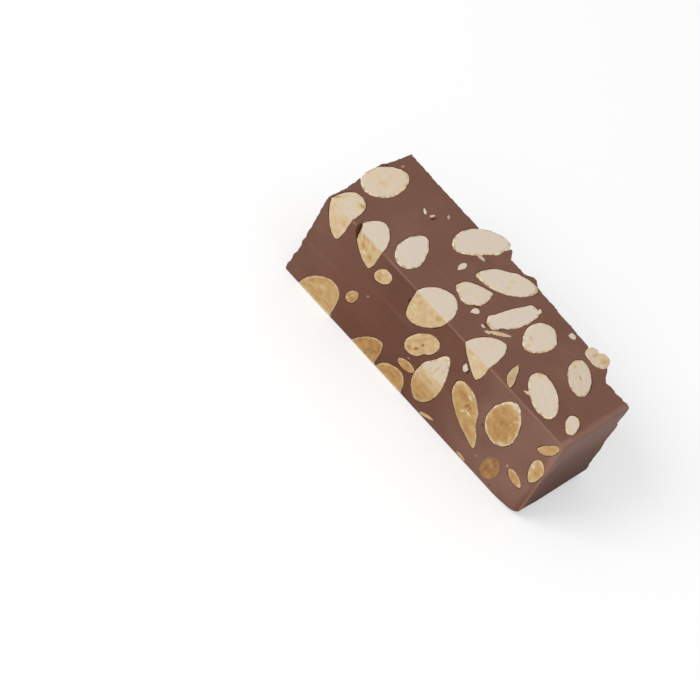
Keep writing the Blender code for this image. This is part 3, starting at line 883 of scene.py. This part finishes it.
def back_edge(u, z):
    high = smooth(z, BAR_HEIGHT - 12.0, BAR_HEIGHT)
    wave = -0.45 * bump(u, 24.0, 20.0) + 0.45 * bump(u, 55.0, 22.0)
    wave = wave - 1.1 * smooth(u, 68.0, 90.0)
    burr = 2.0 * bump(u, 59.0, 3.6) + 3.4 * bump(u, 46.2, 3.0)
    full = BAR_WIDTH + wave * high + burr * smooth(z, BAR_HEIGHT - 7.0, BAR_HEIGHT)
    short = 33.2 + 0.5 * np.sin(0.55 * z) + 1.4 * (1.0 - z / BAR_HEIGHT)
    return full + (short - full) * smooth(u, 96.5, 101.0)


def start_end(v, z):
    bulge = -0.3 - 1.5 * bump(v, 23.0, 13.0) * smooth(z, BAR_HEIGHT - 14.0, BAR_HEIGHT)
    near_rim = 1.0 - bump(z, BAR_HEIGHT / 2.0, BAR_HEIGHT / 2.0)
    return bulge - 0.45 * np.sin(0.42 * z + 0.3) * (1.0 - bump(v, 20.0, 20.0)) * near_rim


def rounded_drop(u, radius):
    inside = np.clip(u - (BAR_LENGTH - radius), 0.0, radius * 0.985)
    return radius - np.sqrt(radius**2 - inside**2)


def spread(length, step):
    """Places from 0 to length, closer together at both ends."""
    near = np.array((0.0, 0.14, 0.28, 0.44, 0.64, 0.90, 1.25))
    inner = np.linspace(1.25, length - 1.25, int((length - 2.5) / step) + 1)
    return np.concatenate((near[:-1], inner, (length - near[::-1])[1:]))


LOW_END_ROUND = 4.2
HIGH_END_ROUND = 1.8
FRONT_CORNER_RISE = 1.1
STEP = 0.7
SKIN_IN = 0.12


def lattice_faces(nu, nv, nz):
    """The outside of a box lattice: each point's place, and the faces."""
    number = -np.ones((nu, nv, nz), dtype=int)
    outside = np.zeros((nu, nv, nz), dtype=bool)
    outside[[0, -1], :, :] = True
    outside[:, [0, -1], :] = True
    outside[:, :, [0, -1]] = True
    where = np.argwhere(outside)
    number[outside] = np.arange(len(where))
    faces = []

    def sheet(grid, flip):
        a, b, c, d = grid[:-1, :-1], grid[1:, :-1], grid[1:, 1:], grid[:-1, 1:]
        quads = np.stack((a, b, c, d), axis=-1).reshape(-1, 4)
        faces.extend((quads[:, ::-1] if flip else quads).tolist())

    sheet(number[:, :, 0], True)
    sheet(number[:, :, -1], False)
    sheet(number[:, 0, :], False)
    sheet(number[:, -1, :], True)
    sheet(number[0, :, :], True)
    sheet(number[-1, :, :], False)
    return where, faces


def block_points():
    """The block's surface, with its rough cuts, ragged edges and burrs."""
    us, vs, zs = spread(BAR_LENGTH, STEP), spread(BAR_WIDTH, STEP), spread(BAR_HEIGHT, STEP)
    where, faces = lattice_faces(len(us), len(vs), len(zs))
    u = us[where[:, 0]]
    fv = vs[where[:, 1]] / BAR_WIDTH
    fz = zs[where[:, 2]] / BAR_HEIGHT
    low = rounded_drop(u, LOW_END_ROUND)
    high = BAR_HEIGHT - rounded_drop(u, HIGH_END_ROUND)
    z = low + (high - low) * fz
    v = back_edge(u, z) * fv
    at_start = where[:, 0] == 0
    u = np.where(at_start, start_end(v, z), u)
    flat = np.stack((u, v, z), axis=-1)

    wide = rough(flat, 9.0, 1)
    middle = rough(flat, 2.6, 2)
    fine = rough(flat, 0.9, 3)
    top = where[:, 2] == len(zs) - 1
    bottom = where[:, 2] == 0
    front = where[:, 1] == 0
    back = where[:, 1] == len(vs) - 1
    end = where[:, 0] == len(us) - 1

    near_back = smooth(fv, 0.955, 1.0)
    near_start = 1.0 - smooth(u, 0.0, 1.6)
    near_low = 1.0 - smooth(fz, 0.0, 0.03)
    near_end = smooth(u, BAR_LENGTH - 1.2, BAR_LENGTH)
    ragged = 0.32 * middle + 0.24 * fine

    # the top and the front are knife cuts: flat, and torn a little at their edges
    torn = np.maximum(0.0, 0.4 * ragged) * near_back
    z -= np.where(top, SKIN_IN + 0.04 * wide + 0.02 * middle + torn, 0.0)
    v += np.where(front, SKIN_IN + 0.05 * wide + 0.02 * middle, 0.0)
    z += np.where(bottom, 0.05 + 0.04 * wide, 0.0)
    v += np.where(back, 0.16 * middle + 0.12 * fine, 0.0)
    v += np.where(top | back, (0.16 * middle + 0.30 * fine) * near_back, 0.0)
    u += np.where(at_start, 0.20 * middle + 0.12 * fine, 0.0)
    u += np.where(at_start | top | front, ragged * near_start * 0.7, 0.0)
    u -= np.where(end, 0.10 + 0.08 * wide + 0.03 * middle, 0.0)
    v += np.where(end | back, ragged * near_end * near_back, 0.0)
    z += np.where(front, np.maximum(0.0, 2.0 * ragged) * near_low, 0.0)
    worn = smooth(u, BAR_LENGTH - 11.0, BAR_LENGTH - 1.0) * (1.0 - smooth(fv, 0.0, 0.3))
    z += FRONT_CORNER_RISE * worn * near_low
    return np.stack((u, v, z), axis=-1), faces


def raise_lip(points):
    """A thin lip of chocolate dragged along the knife-cut edges."""
    u, v, z = points.T
    high = BAR_HEIGHT
    amount = 0.55 + 0.45 * rough(np.stack((u, np.zeros_like(u), z * 0.3), axis=-1), 5.0, 7)
    top_front = bump(np.hypot(v - 0.25, z - (high - 0.25)), 0.0, 0.55) * amount
    front_end = bump(np.hypot(v - 0.25, u - (BAR_LENGTH - 0.3)), 0.0, 0.55) * amount
    lift = np.clip(top_front + front_end, 0.0, 1.0)
    out = points.copy()
    out[:, 1] -= 0.10 * lift
    out[:, 2] += 0.10 * np.clip(top_front, 0.0, 1.0)
    out[:, 0] += 0.08 * np.clip(front_end, 0.0, 1.0)
    out[:, 1] = np.maximum(out[:, 1], 0.005)
    out[:, 2] = np.minimum(out[:, 2], high - 0.005)
    return out


def burr_amount(points):
    """How far each point belongs to the paler lip at the knife-cut edges."""
    u, v, z = points.T
    patchy = 0.75 + 0.6 * rough(np.stack((u, np.zeros_like(u), z), axis=-1), 7.0, 11)
    to_top = np.hypot(v, z - BAR_HEIGHT)
    to_end = np.hypot(v, u - BAR_LENGTH)
    near = 1.0 - smooth(np.minimum(to_top, 0.75 * to_end), 0.3, 0.85)
    return np.clip(near * patchy, 0.0, 1.0)


def painted_sheen_shade_amount(points):
    """Painted sheen and painted shade on the chocolate, as paleness: least in the middle of the front."""
    u, v, z = points.T
    on_end = smooth(u, BAR_LENGTH - 3.0, BAR_LENGTH - 0.4)
    on_front = (1.0 - smooth(v, 0.2, 0.8)) * (1.0 - on_end)
    # On the front: a painted sheen, paler toward both ends.
    front = 0.26 + 0.36 * (1.0 - smooth(u, 2.0, 40.0)) + 0.50 * smooth(u, 50.0, 96.0)
    # On the end: painted shade, darker toward the bottom, and a painted sheen, paler toward the top and the
    # front edge, with faint vertical bands.
    bands = 0.08 * rough(np.stack((np.zeros_like(v), v, 0.12 * z), axis=-1), 3.5, 21)
    end = 0.02 + 0.95 * smooth(z, 2.0, 36.0) + 0.25 * (1.0 - smooth(v, 0.0, 8.0)) + bands
    elsewhere = 0.58
    return elsewhere + (front - elsewhere) * on_front + (end - elsewhere) * on_end


def cut_away(item, points, faces):
    """Cuts one set of closed pockets out of a piece, and keeps the result."""
    cutter = make_object("pockets", points, faces, None)
    face_outward(cutter)
    change = item.modifiers.new("pockets", "BOOLEAN")
    change.operation = "DIFFERENCE"
    change.solver = "MANIFOLD"
    change.object = cutter
    ready = bpy.context.evaluated_depsgraph_get()
    made = bpy.data.meshes.new_from_object(item.evaluated_get(ready))
    item.modifiers.clear()
    old = item.data
    item.data = made
    bpy.data.meshes.remove(old)
    bpy.data.objects.remove(cutter, do_unlink=True)


def joined(shapes):
    points, faces, first = [], [], 0
    for p, f in shapes:
        points.append(np.asarray(p))
        faces += [tuple(int(n) + first for n in face) for face in f]
        first += len(p)
    return np.vstack(points), faces


# Small bits and pits

# A small cut bit of almond: its face, place, size and turn, its tone, and how
# much of a film of chocolate lies over it.
Bit = namedtuple("Bit", "face across up length width angle tone film")

BITS = [
    ("top", 42.8, 21.9, 5.8, 2.3, 94, 0.02, 0.00),
    ("top", 43.4, 30.9, 4.4, 1.8, 6, 0.12, 0.22),
    ("top", 58.1, 12.5, 4.0, 2.7, 72, 0.10, 0.00),
    ("top", 69.0, 13.7, 9.8, 2.2, 49, 0.22, 0.16),
    ("top", 66.2, 10.2, 2.4, 1.8, 40, 0.22, 0.15),
    ("top", 82.1, 36.6, 3.0, 2.7, 10, 0.08, 0.08),
    ("top", 20.0, 26.7, 3.0, 1.3, -36, 0.00, 0.00),
    ("top", 22.7, 27.7, 2.8, 1.2, 82, 0.14, 0.20),
    ("top", 25.7, 32.8, 2.2, 1.1, -50, 0.05, 0.50),
    ("top", 63.8, 10.6, 2.0, 1.4, 0, 0.00, 0.18),
    ("top", 69.2, 33.8, 2.2, 1.2, -48, 0.00, 0.00),
    ("top", 2.7, 33.3, 1.8, 1.0, 70, 0.10, 0.65),
    ("top", 90.3, 4.9, 3.0, 1.8, 25, 0.26, 0.00),
    ("top", 81.0, 9.8, 1.6, 0.7, 110, 0.25, 0.50),
    ("front", 70.2, 30.3, 3.3, 2.3, 92, 0.02, 0.00),
    ("front", 68.0, 1.7, 7.0, 1.7, 22, 0.40, 0.00),
    ("front", 85.4, 0.9, 4.8, 1.7, -4, 0.50, 0.00),
    ("front", 52.4, 14.2, 1.2, 0.8, 0, 0.10, 0.80),
    ("front", 100.1, 13.8, 1.8, 1.1, 80, 0.10, 0.70),
    ("front", 29.2, 19.8, 1.5, 0.8, 60, 0.10, 0.75),
    ("front", 89.6, 6.2, 1.8, 1.2, 30, 0.20, 0.80),
]
BIT_POINTS = 36
BIT_RINGS = (0.2, 0.4, 0.6, 0.75, 0.88, 0.96)
BIT_IN = 0.02
BIT_DEEP = 0.9

# Small dark hollows in the chocolate beside almonds and bits: face, place,
# length, width, turn and depth.
Pit = namedtuple("Pit", "face across up length width angle depth")

PITS = [
    ("top", 23.8, 27.2, 2.6, 1.0, 75, 1.1),
    ("top", 64.4, 11.9, 2.4, 0.8, 8, 1.0),
    ("top", 68.4, 32.8, 2.8, 0.6, -50, 1.0),
    ("top", 67.4, 15.4, 4.2, 0.7, 55, 1.0),
    ("top", 57.0, 14.6, 2.6, 0.6, 30, 0.9),
    ("top", 45.9, 32.0, 1.6, 0.4, 20, 0.6),
    ("top", -0.2, 27.4, 2.6, 1.0, 65, 1.0),
    ("front", 71.5, 30.0, 2.6, 1.1, 78, 1.2),
    ("front", 69.6, 32.0, 1.8, 0.7, -20, 0.9),
    ("front", 41.9, 32.6, 3.0, 0.5, 95, 0.8),
    ("front", 85.6, 18.3, 2.0, 0.5, -55, 0.7),
    ("front", 98.9, 1.6, 1.4, 0.7, 20, 0.7),
]
PIT_POINTS = 20


def oval(shape, count, seed, amount):
    """An uneven oval outline with pointed or round ends, as places on a face."""
    t = np.linspace(0.0, 2.0 * math.pi, count, endpoint=False)
    x = 0.5 * shape.length * np.cos(t)
    y = 0.5 * shape.width * np.sin(t) * (1.0 + 0.25 * np.cos(t) * (1 if seed % 2 else -1))
    grow = 1.0 + amount * ring_noise(count, 1.4, seed)
    turn = math.radians(shape.angle)
    across = shape.across + grow * (x * math.cos(turn) - y * math.sin(turn))
    up = shape.up + grow * (x * math.sin(turn) + y * math.cos(turn))
    return np.stack((across, up), axis=-1)


def make_bits(material):
    """All the small bits of almond as one piece."""
    shapes, tones, films, grains = [], [], [], []
    for seed, bit in enumerate(map(Bit._make, BITS), 301):
        ring = oval(bit, BIT_POINTS, seed, 0.22)
        middle = ring.mean(axis=0)
        rings = []
        for f in BIT_RINGS:
            spot = middle + (ring - middle) * f
            relief = 0.06 * rough(np.c_[spot, np.zeros(BIT_POINTS)], 0.8, seed)
            inward = BIT_IN + 0.14 * f**4 + relief * (1.0 - f * f) + 0.03
            rings.append((spot, np.maximum(inward, 0.0)))
        rings += [(ring, 0.26), (ring, 0.5), (middle + (ring - middle) * 0.7, 0.8)]
        points, faces = loft(bit.face, (*middle, BIT_IN), rings, (*middle, BIT_DEEP))
        shapes.append((points, faces))
        local = off_face(bit.face, points)
        tones.append(np.full(len(points), bit.tone))
        films.append(np.full(len(points), bit.film))
        grains.append(grain_places(local[:, 0], local[:, 1], bit.angle, seed))
    points, faces = joined(shapes)
    item = make_object("nut_bits", points, faces, material)
    set_looks(item, np.concatenate(tones), np.zeros(len(points)), np.concatenate(films), np.vstack(grains))
    shade(item, 50)
    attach(item, "root")


def pit_cutter(pit, seed):
    ring = oval(pit, PIT_POINTS, seed, 0.2)
    middle = ring.mean(axis=0)
    rings = [(ring, -LIFT), (ring, 0.15)]
    for deep, scale in ((0.5, 0.85), (0.85, 0.5)):
        rings.append((middle + (ring - middle) * scale, deep * pit.depth))
    return loft(pit.face, (*middle, -LIFT), rings, (*middle, pit.depth))


# Making it all

# How roasted each almond looks, from 0, blanched cream, to 1, in the order of
# the nodes. An edge almond has one for each face. Top faces are given paler
# tones than front faces: partly the nuts' own colour, partly painted light, a
# painted sheen that pales the top faces.
TONES_KNOWN = {
    "top": (0.12, 0.00, 0.05, 0.05, 0.07, 0.03, 0.05, 0.28, 0.07, 0.09, 0.10, 0.17),
    "front": (0.62, 0.40, 0.40, 0.64, 0.66, 0.58, 0.66, 0.60, 0.50, 0.62, 0.84),
}
EDGE_TONES = (
    (0.14, 0.23), (0.04, 0.36), (0.05, 0.32), (0.09, 0.23),
    (0.50, 0.30), (0.74, 0.40), (0.66, 0.35),
)
# A thin film of chocolate dulls some of them
FILMS = {
    "almond_top_05": 0.03, "almond_top_08": 0.22, "almond_top_10": 0.08, "almond_top_12": 0.10,
    "almond_front_01": 0.08, "almond_front_11": 0.10,
}


def per_corner(item, values):
    """Values given for each point, as values for each face corner."""
    numbers = np.empty(len(item.data.loops), dtype=int)
    item.data.loops.foreach_get("vertex_index", numbers)
    return np.asarray(values, dtype=np.float32)[numbers].ravel()


def set_points(item, name, values):
    layer = item.data.attributes.new(name, "FLOAT", "POINT")
    layer.data.foreach_set("value", np.asarray(values, dtype=np.float32))


def set_looks(item, tone, rim, film, grain):
    """Tone and grain are set for each corner, so that they can change at an edge."""
    layer = item.data.attributes.new("tone", "FLOAT", "CORNER")
    layer.data.foreach_set("value", per_corner(item, tone))
    set_points(item, "rim", rim)
    set_points(item, "film", film)
    layer = item.data.attributes.new("grain", "FLOAT_VECTOR", "CORNER")
    layer.data.foreach_set("vector", per_corner(item, grain))


def tone_here(node, base, local, rim):
    """The almond's colour at each place, as the cut shows it."""
    across, up = local[:, 0], local[:, 1]
    if node == "almond_front_05":
        return base - 0.34 * smooth(up, 6.0, 15.0) - 0.20 * smooth(up, 14.5, 18.5)
    # front_07's pale ring is partly the nut's own paler edge and partly a painted highlight along the cut
    # edge.
    if node == "almond_front_07":
        return base - 0.42 * smooth(rim, 0.82, 0.96) - 0.16 * smooth(up, 29.0, 35.0)
    if node.startswith(("almond_front", "almond_back", "almond_end")):
        return base - 0.08 * smooth(rim, 0.6, 1.0)
    return np.full(len(across), base)


def grouped(prefix):
    return sorted(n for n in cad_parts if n.startswith(prefix))


def place_nut(node, nut, material):
    item = make_object(node.replace("almond", "nut"), nut.points, nut.faces, material)
    set_looks(item, nut.tone, nut.rim, nut.film, nut.grain)
    face_outward(item)
    shade(item, 50)
    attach(item, "root")
    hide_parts(node)


def hidden_tone(face, seed):
    """A tone for an almond that the photo doesn't show."""
    if face == "bottom":
        return 0.02 + 0.13 * (seed * 0.37 % 1.0)
    return 0.34 + 0.34 * (seed * 0.61 % 1.0)


def build():
    chocolate_material = chocolate_look()
    almond_material = almond_look()
    pockets = []
    seed = 1
    for face in ("top", "front", "back", "bottom", "end"):
        for number, node in enumerate(grouped(f"almond_{face}")):
            seed += 1
            known = TONES_KNOWN.get(face)
            base = known[number] if known else hidden_tone(face, seed)
            nut = cut_almond(face, node, seed, base, FILMS.get(node, 0.0))
            place_nut(node, nut, almond_material)
            pockets.append(nut.pocket)
    for number, node in enumerate(grouped("almond_edge")):
        seed += 1
        edge = "upper" if node in UPPER_EDGE else "lower"
        nut = edge_almond(edge, node, seed, EDGE_TONES[number])
        place_nut(node, nut, almond_material)
        pockets.append(nut.pocket)
    make_bits(almond_material)
    pockets += [pit_cutter(pit, seed) for seed, pit in enumerate(map(Pit._make, PITS), 401)]

    points, faces = block_points()
    bar = make_object("chocolate_bar", raise_lip(points), faces, chocolate_material)
    face_outward(bar)
    cut_away(bar, *joined(pockets))
    places = vertex_places(bar.data)
    set_points(bar, "burr", burr_amount(places))
    set_points(bar, "painted_sheen_shade", painted_sheen_shade_amount(places))
    shade(bar, 38)
    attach(bar, "root")
    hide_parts("chocolate")


# The studio

VIEW_AZIMUTH = 20.9
VIEW_ELEVATION = 45.6
VIEW_AIM = (35.9, -5.5, 2.4)
VIEW_DISTANCE = 1293.4
VIEW_RIGHT = (0.65502, 0.65737, 0.37258)
VIEW_LENS = 205.7
VIEW_SENSOR = 36.0

FLOOR_HALF = 3.0
FLOOR_DROP = 0.0002
FLOOR_GREY = 0.60
FLOOR_GLOW = 0.42
SKY = 0.64
# Place, size and power
KEY = ((-0.55, -0.85, 0.95), 0.7, 9.0)
FILL = ((0.2, -0.9, 0.5), 0.6, 1.5)


def add_camera():
    around = math.radians(VIEW_AZIMUTH)
    down = math.radians(VIEW_ELEVATION)
    toward = Vector((-math.sin(around) * math.cos(down), math.cos(around) * math.cos(down), -math.sin(down)))
    right = Vector(VIEW_RIGHT)
    right = (right - toward * right.dot(toward)).normalized()
    up = right.cross(toward)
    place = Vector(np.array(VIEW_AIM) * MM + ORIGIN) - toward * VIEW_DISTANCE * MM
    data = bpy.data.cameras.new("camera")
    data.lens = VIEW_LENS
    data.sensor_width = VIEW_SENSOR
    data.clip_end = 20.0
    camera = bpy.data.objects.new("camera", data)
    turn = Matrix((right, up, -toward)).transposed()
    camera.matrix_world = Matrix.Translation(place) @ turn.to_4x4()
    bpy.context.scene.collection.objects.link(camera)
    bpy.context.scene.camera = camera


def add_lamp(name, place, size, power):
    data = bpy.data.lights.new(name, "AREA")
    data.shape = "SQUARE"
    data.size = size
    data.energy = power
    lamp = bpy.data.objects.new(name, data)
    lamp.location = place
    lamp.rotation_euler = (-Vector(place)).to_track_quat("-Z", "Y").to_euler()
    bpy.context.scene.collection.objects.link(lamp)


def seen_directly(tree):
    """1 where the camera itself sees the surface."""
    return tree.nodes.new("ShaderNodeLightPath").outputs["Is Camera Ray"]


def add_floor():
    half = FLOOR_HALF
    corners = [(-half, -half, 0), (half, -half, 0), (half, half, 0), (-half, half, 0)]
    mesh = bpy.data.meshes.new("floor")
    mesh.from_pydata(corners, [], [(0, 1, 2, 3)])
    floor = bpy.data.objects.new("floor", mesh)
    bpy.context.scene.collection.objects.link(floor)
    material, tree, shader = node_tree("floor")
    shader.inputs["Base Color"].default_value = (FLOOR_GREY, FLOOR_GREY, FLOOR_GREY, 1)
    shader.inputs["Roughness"].default_value = 0.9
    shader.inputs["Specular IOR Level"].default_value = 0.0
    glow = tree.nodes.new("ShaderNodeEmission")
    glow.inputs["Color"].default_value = (1, 1, 1, 1)
    tree.links.new(maths(tree, "MULTIPLY", seen_directly(tree), FLOOR_GLOW), glow.inputs["Strength"])
    total = tree.nodes.new("ShaderNodeAddShader")
    tree.links.new(shader.outputs[0], total.inputs[0])
    tree.links.new(glow.outputs[0], total.inputs[1])
    tree.links.new(total.outputs[0], tree.nodes["Material Output"].inputs["Surface"])
    mesh.materials.append(material)
    floor.location.z = -FLOOR_DROP


def add_world():
    world = bpy.data.worlds.new("studio")
    bpy.context.scene.world = world
    world.use_nodes = True
    tree = world.node_tree
    tree.nodes.clear()
    out = tree.nodes.new("ShaderNodeOutputWorld")
    soft = tree.nodes.new("ShaderNodeBackground")
    soft.inputs["Color"].default_value = (1.0, 1.0, 1.0, 1)
    soft.inputs["Strength"].default_value = SKY
    white = tree.nodes.new("ShaderNodeBackground")
    white.inputs["Color"].default_value = (1, 1, 1, 1)
    white.inputs["Strength"].default_value = 1.0
    mix = tree.nodes.new("ShaderNodeMixShader")
    tree.links.new(seen_directly(tree), mix.inputs["Fac"])
    tree.links.new(soft.outputs[0], mix.inputs[1])
    tree.links.new(white.outputs[0], mix.inputs[2])
    tree.links.new(mix.outputs[0], out.inputs["Surface"])


def studio():
    add_camera()
    add_world()
    add_floor()
    add_lamp("key", *KEY)
    add_lamp("fill", *FILL)
    bpy.context.scene.view_settings.view_transform = "Standard"


build()
studio()
